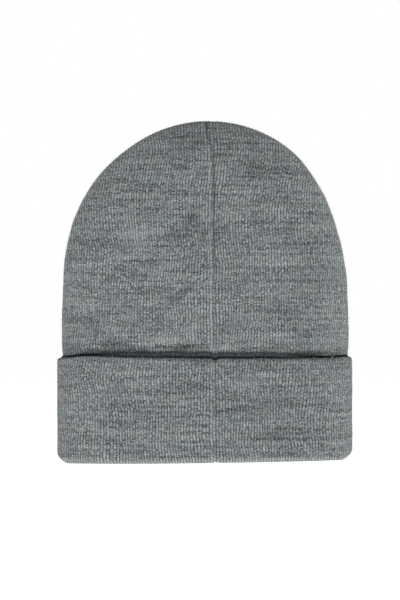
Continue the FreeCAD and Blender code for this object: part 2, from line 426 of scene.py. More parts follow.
# one skin of the hat: its columns run up the back, over the top and down the front
def domedGrid(build, inset, step, wallRows, domeRows, swellOf, inward, shadeOf=None):
    count = yarn["walesRound"] * yarn["columnsPerWale"] // 2 // step
    xs = evenAcross(shellHigh.x - inset, shellHigh.y - inset, count)
    base, top = shellLow.z, crownTop(inset)
    heights = [base + (spring - base) * h / hat["springRow"] for h in spread(wallRows)]
    foot = len(heights) - 1
    crest = foot + domeRows
    places, info = {}, {}

    def place(i, j):
        level = min(j, 2 * crest - j)
        if level <= foot:
            z = heights[level]
        else:
            share = (level - foot) / domeRows
            angle = math.pi / 2 * (share - hat["domeEasing"] * math.sin(math.pi * share))
            z = spring + (top - spring) * crownRise(xs[i], inset) * math.sin(angle)
        spot = domeSpot(xs[i], z, j <= crest, inset)
        if j == crest:
            spot.y = 0
        return spot

    def key(i, j):  # below the crown, back and front share their points at both sides
        return (i, min(j, 2 * crest - j, foot)) if i in (0, count) else (i, j)

    def waleOf(i, spot, back):
        return i * step / yarn["columnsPerWale"] + drift(spot.x, spot.z, back)

    def corner(i, j, back):
        spot, run = info[i, j]
        wale = waleOf(i, spot, back)
        wale = wale if back else yarn["walesRound"] - wale
        return places[key(i, j)], (wale, run / yarn["courseHeight"])

    for i in range(count + 1):
        run, before = 0, None
        for j in range(2 * crest + 1):
            spot = place(i, j)
            run += (spot - before).length if before else 0
            before = spot
            info[i, j] = [spot, run]
        for j in range(crest + 1, 2 * crest + 1):
            info[i, j][1] = run - info[i, j][1]
        for j in range(2 * crest + 1):
            if key(i, j) == (i, j):
                places[i, j] = len(build["points"])
                build["points"].append(None)
                spot, back = info[i, j][0], j <= crest
                build["shades"].append(shadeOf(spot.x, spot.z, back) if shadeOf else 0)
                bare = shadeOf and spot.z > lipZ(spot.x, back) + 2 * mm
                build["fuzz"].append(1 if bare else 0)

    for (i, j), number in places.items():
        spot = info[i, j][0]
        left, right = info[max(0, i - 1), j][0], info[min(count, i + 1), j][0]
        under, over = info[i, max(0, j - 1)][0], info[i, min(2 * crest, j + 1)][0]
        out = (right - left).cross(over - under)
        if i in (0, count) or out.length < 1e-12:
            out = Vector((spot.x, 0, 0))
        out.normalize()
        back = j <= crest
        build["points"][number] = spot + out * swellOf(spot, waleOf(i, spot, back), back)

    for j in range(2 * crest):
        for i in range(count):
            ring = (i, j), (i + 1, j), (i + 1, j + 1), (i, j + 1)
            face = [corner(*spot, j < crest) for spot in ring]
            addFace(build, face[::-1] if inward else face)
    rim = [corner(i, 0, True) for i in range(count)]
    return rim + [corner(i, 2 * crest, False) for i in range(count, 0, -1)]


def leanOver(build):  # the crown to one side, and the wall's foot up with the cuff's hem
    for spot in build["points"]:
        spot.x += lean(spot.z)
        spot.z += hemZ(spot.x, False) * (1 - smooth(0, 30 * mm, spot.z))


# one ply of the hat: its fine face, its coarser back and the rim that closes them
def hatPly(name, material, insets, rows, face, behind, inward, shadeOf=None):
    build = newBuild()
    fine = domedGrid(build, insets[0], 1, *rows, face, inward, shadeOf)
    coarse = domedGrid(build, insets[1], hat["backStep"], *hat["backRows"], behind, not inward)
    bridge(build, fine, coarse, inward)
    leanOver(build)
    return finishMesh(build, name, material)


def outerKnit(material):
    def face(spot, wale, back):
        beside = abs(spot.x - seamX(spot.z)) if back else 1
        relief = yarn["relief"] * waleRelief(wale) * smooth(0.4 * mm, 1.4 * mm, beside)
        relief *= smooth(0.2 * mm, 6 * mm, abs(spot.y))
        return wallSwell(spot.x, spot.z, back) + relief

    def behind(spot, wale, back):
        return max(-0.15 * mm, wallSwell(spot.x, spot.z, back))

    insets, rows = (0, hat["plyThickness"]), hat["outerRows"]
    return hatPly("outerKnit", material, insets, rows, face, behind, False, wallShade)


def liningKnit(material):
    front = hat["plyThickness"] + hat["plyGap"]

    def face(spot, wale, back):
        return yarn["relief"] * -waleRelief(wale)

    def behind(spot, wale, back):
        return 0

    insets, rows = (front + hat["plyThickness"], front), hat["liningRows"]
    return hatPly("liningKnit", material, insets, rows, face, behind, True)


# the face ply's section: inset, height above the hem, and whether its ring is fine
def cuffProfile():
    thick, hem, lip = hat["plyThickness"], cuff["hemRadius"], cuff["lipRadius"]
    tall = cuffHigh.z
    rows = cuff["faceRows"]
    turn = evenly(0, math.pi, 10)  # under the hem, from inside to outside
    section = [(hem + hem * math.cos(t), hem - hem * math.sin(t), True) for t in turn]
    section += [(0, hem + (tall - lip - hem) * k / rows, True) for k in range(1, rows + 1)]
    turn = evenly(0, math.pi, 6)[1:]  # over the lip
    section += [(lip - lip * math.cos(t), tall - lip + lip * math.sin(t), True) for t in turn]
    heights = (tall - lip, tall * 0.8, tall * 0.5, tall * 0.2, hem)
    section += [(thick, height, False) for height in heights]
    turn, r = evenly(0, math.pi, 4)[1:], hem - thick
    section += [(hem - r * math.cos(t), hem - r * math.sin(t), False) for t in turn]
    return section


def cuffPlan(count):  # x of each column, right round, and whether it is at the back
    xs = evenAcross(cuffHigh.x, cuffHigh.y, count)
    return [(x, True) for x in xs[:-1]] + [(x, False) for x in xs[:0:-1]]


# where a point of the cuff lies, from its x on the plan at no inset, its inset and its height
def cuffPlace(x, back, inset, height):
    a, b, tall = cuffHigh
    n = hat["planFullness"]
    y = planY(x, a, b)
    away = Vector((math.copysign(abs(x / a) ** (n - 1), x) / a, (y / b) ** (n - 1) / b))
    away.normalize()
    px, py = x - away.x * inset, y - away.y * inset
    low, high = hemZ(x, back), lipZ(x, back)
    z = low + height * (high - low) / tall
    end = math.copysign(math.sqrt(sideShare(min(abs(x), cuffHigh.x))), x)
    tuck = max(0, 1 - height / cuff["cornerUp"])
    px -= cuff["cornerAcross"] * (1 - math.sqrt(max(0, 1 - tuck * tuck))) * end
    top = max(0, 1 - (tall - height) / cuff["topDown"])
    px -= cuff["topAcross"] * top * top * end
    return Vector((px + cuff["shift"], -py if back else py, z))


def cuffSwell(x, z, back):
    across, up = x / mm, z / mm
    side = 11 if back else 52
    wave = waver(across / 24, up / 26, side)
    wave += 0.4 * waver(across / 9, up / 11, side + 5)
    swell = soft["cuffWaves"] * wave
    if back:
        beside = across - seamX(z, False) / mm
        depth = seam["cuffShare"] * seam["grooveDepth"]
        swell -= depth * hill(beside, 0.3, seam["grooveWidth"])
        swell -= seam["cuffHollow"] * hill(beside, 0, 6)
        swell += seam["ridge"] * hill(beside, -1.3, 0.8)
        swell += sum(dent(across, up, spec) for spec in soft["cuffDents"])
    return swell * mm


def cuffFace(material):
    build = newBuild()
    a, b = cuffHigh.x, cuffHigh.y
    per = yarn["columnsPerWale"]
    plan = cuffPlan(yarn["walesRound"] * per // 2)
    section = cuffProfile()
    rings, runs = [], runsAlong([spot[:2] for spot in section])
    for (inset, height, fine), run in zip(section, runs):
        ring = []
        for k in range(0, len(plan), 1 if fine else per):
            x, back = plan[k]
            spot = cuffPlace(x, back, inset, height)
            out = Vector((spot.x / a**2, spot.y / b**2, 0)).normalized()
            swell = cuffSwell(x, spot.z, back) * smooth(0, 5 * mm, spot.z)
            swell *= 1 - smooth(0, 3 * mm, inset) * 0.7
            wale = k / per + drift(x, height + 0.5, back)
            if fine:
                beside = abs(x - seamX(spot.z, False)) if back else 1
                gap = yarn["relief"] * waleRelief(wale) * smooth(0.4 * mm, 1.4 * mm, beside)
                swell += gap * (1 if inset < 2 * cuff["lipRadius"] else -1)
            course = -run / yarn["courseHeight"]
            ring.append((len(build["points"]), (wale, course)))
            build["points"].append(spot + out * swell)
            build["shades"].append(cuffShade(x, spot.z, back, inset))
            build["fuzz"].append(1 if fine and inset < hat["plyThickness"] else 0)
        rings.append(ring)
    for r, ring in enumerate(rings):
        after = rings[(r + 1) % len(rings)]
        if len(ring) == len(after):
            joinRings(build, ring, after)
        elif len(ring) > len(after):
            bridge(build, ring, after, inward=True)
        else:
            bridge(build, after, ring)
    return finishMesh(build, "cuffFace", material)


def joinRings(build, ring, after):
    count = len(ring)
    for k in range(count):
        n = (k + 1) % count
        wrap = yarn["walesRound"] if n == 0 else 0
        face = [ring[k], ring[n], after[n], after[k]]
        face = [(p, (u + wrap if p in (ring[n][0], after[n][0]) else u, v)) for p, (u, v) in face]
        addFace(build, face)


# the ply between the cuff's face and the wall; its edge rises over the lip and is painted dark as the
# shadow in the crevice there
def cuffBack(material):
    build = newBuild()
    near = hat["plyThickness"] + hat["plyGap"]
    far = near + hat["plyThickness"]
    hem, tall = cuff["hemRadius"], cuffHigh.z - cuff["lipRadius"] - hat["plyGap"]
    top, soften, rows = cuffHigh.z + cuff["edgeRise"], cuff["edgeSoften"], cuff["backRows"]
    section = [(near, hem), (near, tall * 0.5), (near, tall)]
    section += [(near, tall + (top - tall) * share) for share in cuff["edgeRings"]]
    section += [(near, top - soften), (near + soften, top)]
    section += [(far - soften, top), (far, top - soften)]
    section += [(far, tall - (tall - hem) * k / rows) for k in range(rows + 1)]
    inner, outer = hem - far, hem - near
    turn = evenly(0, math.pi, 4)[1:]
    section += [(hem - inner * math.cos(t), hem - inner * math.sin(t)) for t in turn]
    section += [(hem + outer * math.cos(t), hem - outer * math.sin(t)) for t in [0] + turn[:-1]]
    rings, plan = [], cuffPlan(yarn["walesRound"])
    for (inset, height), run in zip(section, runsAlong(section)):
        ring = []
        for k, (x, back) in enumerate(plan):
            uneven = 1 + 0.25 * waver(x / (13 * mm), 5.5 if back else 2.5, 0)
            sideways = smooth(45 * mm, 76 * mm, abs(x))
            uneven *= 1 - 0.36 * sideways - 0.12 * smooth(78 * mm, 88 * mm, abs(x))
            rise = max(0, height - tall) * (uneven - 1)
            ring.append((len(build["points"]), (k / 2, run / yarn["courseHeight"])))
            build["points"].append(cuffPlace(x, back, inset, height + rise))
            # painted shadow on the raised edge, less towards its top and on every other column
            over = max(0, height - tall) / cuff["edgeRise"]
            between = (0.2 if k % 2 else 0.42) * smooth(0.5, 1, over) * (1 - sideways)
            build["shades"].append((1 - between) * smooth(tall - 6 * mm, tall - mm, height))
        rings.append(ring)
    for r, ring in enumerate(rings):
        joinRings(build, ring, rings[(r + 1) % len(rings)])
    return finishMesh(build, "cuffBack", material)


# a node with its settings, then its inputs by name: a value is set and an output is linked
def nodeOf(tree, kind, feeds=(), **settings):
    node = tree.nodes.new(kind)
    for label, value in settings.items():
        setattr(node, label, value)
    for label, value in dict(feeds).items():
        put(node, label, value)
    return node


def put(node, label, value):
    if isinstance(label, int):
        socket = node.inputs[label]
    else:
        socket = next(s for s in node.inputs if s.name == label and s.enabled)
    if isinstance(value, Wire):
        node.id_data.links.new(value.socket, socket)
    else:
        socket.default_value = value


# a node's output, which can be added, multiplied and so on like a number
class Wire:
    def __init__(self, socket):
        self.socket = socket

    def __add__(self, other):
        return calc("ADD", self, other)

    def __sub__(self, other):
        return calc("SUBTRACT", self, other)

    def __rsub__(self, other):
        return calc("SUBTRACT", other, self)

    def __mul__(self, other):
        return calc("MULTIPLY", self, other)

    def __truediv__(self, other):
        return calc("DIVIDE", self, other)

    def __pow__(self, other):
        return calc("POWER", self, other)

    def __abs__(self):
        return calc("ABSOLUTE", self)


def calc(operation, *values):
    tree = next(value for value in values if isinstance(value, Wire)).socket.id_data
    return outOf(tree, "ShaderNodeMath", dict(enumerate(values)), operation=operation)


def clamped(wire):  # the sum that it comes from stays between 0 and 1
    wire.socket.node.use_clamp = True
    return wire


def outOf(tree, kind, feeds=(), which=0, **settings):
    return Wire(nodeOf(tree, kind, feeds, **settings).outputs[which])


def wiresOf(node):
    return {socket.name: Wire(socket) for socket in node.outputs if socket.enabled}


# a node group: an input says its kind, or its usual value where it is a plain number
def startGroup(name, kind, inputs, outputs):
    tree = bpy.data.node_groups.new(name, kind + "NodeTree")
    sockets = [("INPUT", *given) for given in inputs.items()]
    sockets += [("OUTPUT", *made) for made in outputs.items()]
    for side, label, value in sockets:
        plain = not isinstance(value, str)
        socketType = "NodeSocket" + ("Float" if plain else value)
        socket = tree.interface.new_socket(label, in_out=side, socket_type=socketType)
        if plain:
            socket.default_value = value
    return tree, wiresOf(tree.nodes.new("NodeGroupInput")), tree.nodes.new("NodeGroupOutput")


def packed(tree, x, y, z=0.0):
    return outOf(tree, "ShaderNodeCombineXYZ", {0: x, 1: y, 2: z})


def flatPlace(vector):  # its first two parts
    split = nodeOf(vector.socket.id_data, "ShaderNodeSeparateXYZ", {0: vector})
    return Wire(split.outputs[0]), Wire(split.outputs[1])


def noiseAt(vector, scale, detail=1.0, rough=0.5):
    feeds = {"Vector": vector, "Scale": scale, "Detail": detail, "Roughness": rough}
    return outOf(vector.socket.id_data, "ShaderNodeTexNoise", feeds, "Fac")


# jersey stitches on a grid of one wale by one course, two slanting legs to each loop
def loopGroup():
    inputs = {
        "Loops": "Vector",
        "Slant": "Float",  # how steeply the legs of a loop part
        "Edge": 2.0,  # less makes the gap between wales wider
        "Split": 0.3,  # how deep the gap is between a loop's two legs
        "Twist": 0.12,
        "Wobble": "Float",  # how unevenly the loops lie
    }
    outputs = dict.fromkeys(("Height", "Gap", "Chance", "Tint"), "Float")
    tree, given, result = startGroup("jerseyLoops", "Shader", inputs, outputs)
    flatU, flatV = flatPlace(given["Loops"])
    sway = noiseAt(packed(tree, flatU * 0.8, flatV * 0.5), 1, 2) - 0.5
    rise = noiseAt(packed(tree, flatU, flatV * 0.6, 31.0), 1, 2) - 0.5
    u = flatU + sway * given["Wobble"]
    v = flatV + rise * given["Wobble"] * 2.2
    side = abs(calc("FRACT", u) - 0.5) * 2  # 0 in the middle of a wale, 1 between two
    raised = v - side * given["Slant"]
    ends = abs(calc("FRACT", raised) * 2 - 1)  # 1 where one loop meets the next
    split = clamped(1 - side * 4) * given["Split"]
    leg = clamped(1 - side ** given["Edge"] - split)
    plain = leg * (1 - ends**3 * 0.6)
    twist = calc("SINE", (v * 3 + side * 2.2) * (2 * math.pi)) * given["Twist"]
    put(result, "Height", plain + twist * plain)
    # the gaps, which the knit material darkens as painted shade
    put(result, "Gap", clamped(1 - plain))
    cell = packed(tree, calc("FLOOR", u), calc("FLOOR", raised))
    feeds = {"Vector": cell}
    chance = wiresOf(nodeOf(tree, "ShaderNodeTexWhiteNoise", feeds, noise_dimensions="2D"))
    put(result, "Chance", chance["Value"])
    put(result, "Tint", outOf(tree, "ShaderNodeSeparateColor", {0: chance["Color"]}, 1))
    return tree


# how light the yarn is: runs of one shade along each course, loops that differ, and fibres
def melangeGroup():
    inputs = dict.fromkeys(("Chance", "Tint", "Runs", "Flecks", "Fibres"), "Float")
    inputs["Loops"] = "Vector"
    outputs = {"Shade": "Float", "Warmth": "Float"}
    tree, given, result = startGroup("melangeYarn", "Shader", inputs, outputs)
    u, v = flatPlace(given["Loops"])

    def stretched(alongU, alongV, where, detail=1):
        return noiseAt(packed(tree, u * alongU, v * alongV, where), 1, detail)

    runs = stretched(0.045, 0.6, 0, 2) + stretched(0.05, 0.14, 7) * 0.4 - 0.7
    flecks = (given["Chance"] - 0.5) * given["Flecks"]
    fibres = (stretched(1.7, 1.35, 3) - 0.5) * given["Fibres"]
    put(result, "Shade", runs * given["Runs"] + flecks + (fibres + 0.5))
    put(result, "Warmth", (stretched(0.1, 0.12, 19, 2) + given["Tint"]) * 0.5)
    return tree


# how deep between its plies a point of a twisted thread lies, from its place along and round
def threadGroup():
    inputs = {
        "Along": "Float",
        "Round": "Float",
        "Plies": 3.0,
        "Lay": 0.9 * mm,  # length of one full turn of a ply
    }
    tree, given, result = startGroup("twistedThread", "Shader", inputs, {"Height": "Float"})
    phase = (given["Along"] / given["Lay"] + given["Round"]) * given["Plies"]
    put(result, "Height", abs(calc("SINE", phase * math.pi)))
    return tree


def mixColor(tree, factor, one, two, blend="MIX"):
    feeds = {"Factor": factor, "A": one, "B": two}
    node = nodeOf(tree, "ShaderNodeMix", feeds, data_type="RGBA", blend_type=blend)
    return wiresOf(node)["Result"]


def placed(tree, group, feeds):
    return wiresOf(nodeOf(tree, "ShaderNodeGroup", feeds, node_tree=group))


def startMaterial(name, constants):
    material = bpy.data.materials.new(name)
    material.use_nodes = True
    shader = material.node_tree.nodes["Principled BSDF"]
    for label, value in constants.items():
        shader.inputs[label].default_value = value
    return material, material.node_tree, shader


def bumped(tree, shader, height, look):
    feeds = {"Strength": look["bump"], "Distance": look["bumpDepth"], "Height": height}
    put(shader, "Normal", outOf(tree, "ShaderNodeBump", feeds))


def valueOf(tree, name):  # a value kept on the mesh's points
    return outOf(tree, "ShaderNodeAttribute", which="Fac", attribute_name=name)


outerLook = {
    "dark": (0.05, 0.059, 0.062, 1),
    "light": (0.437, 0.479, 0.482, 1),
    "warm": (1.08, 1.0, 0.94, 1),
    "cool": (0.93, 1.0, 1.05, 1),
    "between": (0.02, 0.023, 0.025, 1),  # painted shade in the gaps between the loops
    "deep": (0.006, 0.006, 0.008, 1),  # in a fold's shadow
    "paintedHighlight": (0.6, 0.63, 0.62, 1),  # painted highlight colour, along the hem, on bulges and beside a seam
    "gap": 0.92,
    "runs": 1.02,
    "flecks": 0.42,
    "fibres": 2.2,
    "wobble": 0.6,
    "slant": 0.6,
    "bump": 0.9,
    "bumpDepth": 0.35 * mm,
    "constants": {
        "Roughness": 0.9,
        "Sheen Weight": 0.15,
        "Sheen Roughness": 0.5,
        "Specular IOR Level": 0.15,
    },
}
liningLook = dict(outerLook, dark=(0.065, 0.076, 0.08, 1), light=(0.31, 0.345, 0.345, 1))
liningLook.update(runs=0.4, slant=-0.6, gap=0.66)
liningLook["constants"] = {"Roughness": 0.9, "Sheen Weight": 0.0, "Specular IOR Level": 0.05}


def knitMaterial(name, look, groups):
    material, tree, shader = startMaterial(name, look["constants"])
    uv = outOf(tree, "ShaderNodeUVMap", uv_map="loops")
    feeds = {"Loops": uv, "Wobble": look["wobble"], "Slant": look["slant"]}
    loops = placed(tree, groups["loops"], feeds)
    feeds = {"Loops": uv, "Chance": loops["Chance"], "Tint": loops["Tint"]}
    feeds.update(Runs=look["runs"], Flecks=look["flecks"], Fibres=look["fibres"])
    melange = placed(tree, groups["melange"], feeds)
    plain = mixColor(tree, clamped(melange["Shade"] + 0), look["dark"], look["light"])
    tint = mixColor(tree, melange["Warmth"], look["warm"], look["cool"])
    yarnColor = mixColor(tree, 1.0, plain, tint, "MULTIPLY")
    # the shade value on the points is painted shade above 0 and painted highlight below 0
    fold = valueOf(tree, "shade")
    paintedHighlight = mixColor(tree, clamped(fold * -1), yarnColor, look["paintedHighlight"])
    # painted shade in the gaps between the loops
    knitted = mixColor(tree, clamped(loops["Gap"] * look["gap"]), paintedHighlight, look["between"])
    put(shader, "Base Color", mixColor(tree, clamped(fold * 1), knitted, look["deep"]))
    put(shader, "Roughness", clamped(melange["Shade"] * -0.1 + 0.95))
    bumped(tree, shader, loops["Height"], look)
    return material


threadLook = {
    "dark": (0.045, 0.052, 0.056, 1),
    "light": (0.17, 0.19, 0.19, 1),
    "bump": 0.8,
    "bumpDepth": 0.06 * mm,
    "constants": {"Sheen Weight": 0.1, "Specular IOR Level": 0.25},
}


def threadMaterial(name, look, groups):
    material, tree, shader = startMaterial(name, look["constants"])
    feeds = {"Along": valueOf(tree, "alongStitch"), "Round": valueOf(tree, "roundStitch")}
    twist = placed(tree, groups["thread"], feeds)["Height"]
    slub = noiseAt(outOf(tree, "ShaderNodeTexCoord", which="Object"), 900, 2, 0.6)
    shade = clamped(twist * (slub + 0.35))
    put(shader, "Base Color", mixColor(tree, shade, look["dark"], look["light"]))
    put(shader, "Roughness", 0.85 - shade * 0.25)
    bumped(tree, shader, twist, look)
    return material


tapeLook = {
    "warp": (0.83, 0.83, 0.8, 1),
    "weft": (0.62, 0.62, 0.6, 1),
    "threads": 0.3 * mm,  # from one thread of the weave to the next
    "bump": 0.5,
    "bumpDepth": 0.05 * mm,
    "constants": {"Sheen Weight": 0.2, "Specular IOR Level": 0.4},
}


def tapeMaterial(name, look):
    material, tree, shader = startMaterial(name, look["constants"])
    uv = outOf(tree, "ShaderNodeUVMap", uv_map="tape")
    u, v = flatPlace(uv)
    across = u * (math.pi / look["threads"])
    along = v * (math.pi / look["threads"] / 1.6)
    weave = abs(calc("SINE", across)) * abs(calc("SINE", along + across))
    shade = weave * 0.7 + noiseAt(uv, 260, 3, 0.6) * 0.4
    put(shader, "Base Color", mixColor(tree, shade, look["weft"], look["warp"]))
    put(shader, "Roughness", 0.62 - weave * 0.2)
    bumped(tree, shader, weave, look)
    return material


fibreLook = {
    "dark": (0.16, 0.18, 0.18, 1),
    "light": (0.55, 0.59, 0.59, 1),
    "constants": {"Specular IOR Level": 0.2},
}


def fibreMaterial(name, look):
    material, tree, shader = startMaterial(name, look["constants"])
    shade = noiseAt(outOf(tree, "ShaderNodeTexCoord", which="Object"), 420, 2, 0.7)
    put(shader, "Base Color", mixColor(tree, shade, look["dark"], look["light"]))
    put(shader, "Roughness", shade * 0.2 + 0.7)
    return material


# stitches laid end to end on the edges that come in, each bowed and lying in the surface
def stitchTree():
    names = ("Pitch", "Reach", "Thickness", "Bow", "Slant", "Zigzag")
    inputs = {"Path": "Geometry", **dict.fromkeys(names, "Float")}
    inputs.update(Unevenness=0.1, Seed="Int", Thread="Material")
    outputs = {"Stitches": "Geometry"}
    tree, given, result = startGroup("stitchRow", "Geometry", inputs, outputs)
    tree.is_modifier = True
    line = outOf(tree, "GeometryNodeMeshToCurve", {"Mesh": given["Path"]})
    feeds = {"Curve": line, "Length": given["Pitch"]}
    line = outOf(tree, "GeometryNodeResampleCurve", feeds, mode="LENGTH")
    points = wiresOf(nodeOf(tree, "GeometryNodeCurveToPoints", {"Curve": line}, mode="EVALUATED"))
    half, sink = given["Reach"] * 0.5, given["Bow"] * -1
    start, end = packed(tree, half * -1, 0.0, sink), packed(tree, half, 0.0, sink)
    arc = bowed(tree, 6, start, packed(tree, 0, 0, given["Bow"]), end)
    lengths = wiresOf(nodeOf(tree, "GeometryNodeSplineParameter"))
    arc = kept(tree, arc, "alongStitch", lengths["Length"])
    ring = kept(tree, ringOf(tree, 7, given["Thickness"]), "roundStitch", lengths["Factor"])
    shape = tubeOf(tree, arc, ring)
    out = outOf(tree, "GeometryNodeInputNamedAttribute", {"Name": "out"}, data_type="FLOAT_VECTOR")
    facing = aligned(tree, "X", "Z", points["Tangent"], aligned(tree, "Z", "AUTO", out))
    odd = calc("MODULO", outOf(tree, "GeometryNodeInputIndex"), 2)
    flip = 1 - odd * 2 * given["Zigzag"]
    stray = randomOf(tree, given["Seed"], -1, 1) * given["Unevenness"]
    turned = turnedBy(tree, facing, packed(tree, 0, 0, given["Slant"] * flip + stray))
    feeds = {"Points": points["Points"], "Instance": shape, "Rotation": turned}
    finishTree(tree, feeds, given["Thread"], result)
    return tree


# short loose fibres on the faces that come in, thick where the fuzz value is 1
def fibreTree():
    inputs = {"Knit": "Geometry", "Density": "Float", "Length": "Float", "Thickness": "Float"}
    inputs.update(Spread=0.9, Seed="Int", Fibre="Material")
    outputs = {"Fibres": "Geometry"}
    tree, given, result = startGroup("looseFibres", "Geometry", inputs, outputs)
    tree.is_modifier = True
    fuzz = outOf(tree, "GeometryNodeInputNamedAttribute", {"Name": "fuzz"}, data_type="FLOAT")
    seed, reach = given["Seed"], given["Length"]
    feeds = {"Mesh": given["Knit"], "Density": given["Density"] * fuzz, "Seed": seed}
    points = wiresOf(nodeOf(tree, "GeometryNodeDistributePointsOnFaces", feeds))
    middle, tip = packed(tree, reach * 0.1, 0, reach * 0.5), packed(tree, reach * 0.55, 0, reach * 0.7)
    hair = bowed(tree, 2, (0, 0, -0.1 * mm), middle, tip)
    shape = tubeOf(tree, hair, ringOf(tree, 3, given["Thickness"]))
    leanX = randomOf(tree, seed, -1, 1) * given["Spread"]
    spin = randomOf(tree, seed + 1, 0, 2 * math.pi)
    turned = turnedBy(tree, points["Rotation"], packed(tree, 0, 0, spin))
    turned = turnedBy(tree, turned, packed(tree, leanX, 0, 0))
    size = randomOf(tree, seed + 2, 0.4, 1.2)
    feeds = {"Points": points["Points"], "Instance": shape, "Rotation": turned, "Scale": size}
    finishTree(tree, feeds, given["Fibre"], result)
    return tree


def bowed(tree, steps, start, middle, end):
    feeds = {"Resolution": steps, "Start": start, "Middle": middle, "End": end}
    return outOf(tree, "GeometryNodeCurveQuadraticBezier", feeds)


def ringOf(tree, steps, across):
    feeds = {"Resolution": steps, "Radius": across * 0.5}
    return outOf(tree, "GeometryNodeCurvePrimitiveCircle", feeds)


def tubeOf(tree, line, ring):
    feeds = {"Curve": line, "Profile Curve": ring, "Fill Caps": True}
    return outOf(tree, "GeometryNodeCurveToMesh", feeds)


def kept(tree, geometry, name, value):
    feeds = {"Geometry": geometry, "Name": name, "Value": value}
    return outOf(tree, "GeometryNodeStoreNamedAttribute", feeds, data_type="FLOAT", domain="POINT")


def aligned(tree, axis, pivot, vector, rotation=None):
    feeds = {"Vector": vector, "Rotation": rotation} if rotation else {"Vector": vector}
    kind = "FunctionNodeAlignRotationToVector"
    return outOf(tree, kind, feeds, axis=axis, pivot_axis=pivot)


def turnedBy(tree, rotation, euler):
    turn = outOf(tree, "FunctionNodeEulerToRotation", {"Euler": euler})
    feeds = {"Rotation": rotation, "Rotate By": turn}
    return outOf(tree, "FunctionNodeRotateRotation", feeds, rotation_space="LOCAL")


def randomOf(tree, seed, low, high):
    feeds = {"Min": low, "Max": high, "Seed": seed}
    return wiresOf(nodeOf(tree, "FunctionNodeRandomValue", feeds, data_type="FLOAT"))["Value"]


def finishTree(tree, feeds, material, result):  # shapes put on points, made real and smooth
    laid = outOf(tree, "GeometryNodeInstanceOnPoints", feeds)
    real = outOf(tree, "GeometryNodeRealizeInstances", {"Geometry": laid})
    smoothed = outOf(tree, "GeometryNodeSetShadeSmooth", {"Geometry": real})
    feeds = {"Geometry": smoothed, "Material": material}
    put(result, 0, outOf(tree, "GeometryNodeSetMaterial", feeds))


# a plain mesh made by a tree from a starting mesh, which is then dropped
def grownBy(tree, name, mesh, values):
    source = linked(name + "Source", mesh)
    modifier = source.modifiers.new("grow", "NODES")
    modifier.node_group = tree
    for item in tree.interface.items_tree:
        if item.in_out == "INPUT" and item.name in values:
            modifier[item.identifier] = values[item.name]
    result = source.evaluated_get(bpy.context.evaluated_depsgraph_get())
    made = bpy.data.meshes.new_from_object(result)
    made.name = name
    bpy.data.objects.remove(source)
    print(name, len(made.vertices), "points", len(made.polygons), "faces")
    return linked(name, made)


def pathMesh(name, paths):  # each path is a list of places with the way out of the surface
    mesh = bpy.data.meshes.new(name)
    points, edges, outs = [], [], []
    for path in paths:
        for k, (spot, out) in enumerate(path):
            if k:
                edges.append((len(points) - 1, len(points)))
            points.append(spot)
            outs.extend(out)
    mesh.from_pydata(points, edges, [])
    mesh.attributes.new("out", "FLOAT_VECTOR", "POINT").data.foreach_set("vector", outs)
    return mesh


# the paths that the seams follow on one skin of the hat
def onSkin(x, z, back, inset, proud):
    step = 0.2 * mm
    side = domeSpot(x + step, z, back, inset) - domeSpot(x - step, z, back, inset)
    up = domeSpot(x, z + step, back, inset) - domeSpot(x, z - step, back, inset)
    out = side.cross(up) if back else up.cross(side)
    out.normalize()
    spot = domeSpot(x, z, back, inset) + out * proud
    return spot + Vector((lean(z), 0, 0)), out


def facingIn(path):
    return [(spot, -out) for spot, out in path]


def backPath(inset, proudOf, low, high, steps=110):
    spots = [(seamX(z) + seam["threadShift"], z) for z in evenly(low, high, steps)]
    return [onSkin(x, z, True, inset, proudOf(x, z)) for x, z in spots]


def frontPath(inset, proud, low, high, steps=40):
    return [onSkin(0, z, False, inset, proud) for z in evenly(low, high, steps)]


def ridgePath(inset, proud, sign, far, near, steps=60):  # along the top edge, from the side
    found = []

    def ridge(x):
        return Vector((x, 0, spring + (crownTop(inset) - spring) * crownRise(x, inset)))

    for away in evenly(far, near, steps):
        x = sign * away
        way = ridge(x + 0.1 * mm) - ridge(x - 0.1 * mm)
        out = Vector((-way.z, 0, way.x)).normalized()
        spot = ridge(x) + out * proud
        found.append((spot + Vector((lean(spot.z), 0, 0)), out))
    return found


def tackPath(inset, reach, x, steps=8):  # over the very top, from back to front
    found = []
    for k in range(steps + 1):
        y = reach * (2 * k / steps - 1)
        z = crownTop(inset) - 0.9 * mm * (abs(y) / (3 * mm)) ** 1.5
        out = Vector((0, y / (6 * mm) * 0.4, 1)).normalized()
        found.append((Vector((x, y, z)), out))
    return found


def cuffSeamPath(low, high, steps=50):
    found = []
    out = Vector((0.02, -1, 0)).normalized()
    for height in evenly(low, high, steps):
        x = seamX(height, False) + seam["threadShift"]
        spot = cuffPlace(x, True, 0, height)
        found.append((spot + out * (cuffSwell(x, height, True) + 0.08 * mm), out))
    return found


stitching = {
    "outer": {"Pitch": 2.6 * mm, "Reach": 2.3 * mm, "Thickness": 0.5 * mm, "Bow": 0.22 * mm},
    "overlock": {
        "Pitch": 1.7 * mm,
        "Reach": 3.4 * mm,
        "Thickness": 0.45 * mm,
        "Bow": 0.3 * mm,
        "Slant": 1.0,
        "Zigzag": 1.0,
    },
    "tack": {"Pitch": 1.9 * mm, "Reach": 2.6 * mm, "Thickness": 0.6 * mm, "Bow": 0.25 * mm},
    "label": {"Pitch": 4.6 * mm, "Reach": 3.2 * mm, "Thickness": 0.4 * mm, "Bow": 0.3 * mm},
    "outerSink": 0.1 * mm,  # how deep a stitch lies in the outer skin
}
# where each row of stitches starts and ends, in mm: across for the side darts, upwards for the rest
rowEnds = {
    "back": (7.7, 218.3),
    "sideDart": (85, 5.5),
    "frontDart": (148.7, 218.8),
    "liningBack": (7.7, 216.9),
    "liningSideDart": (82.5, 6),
    "liningFrontDart": (148, 216.9),
    "cuff": (4.5, 66),
}


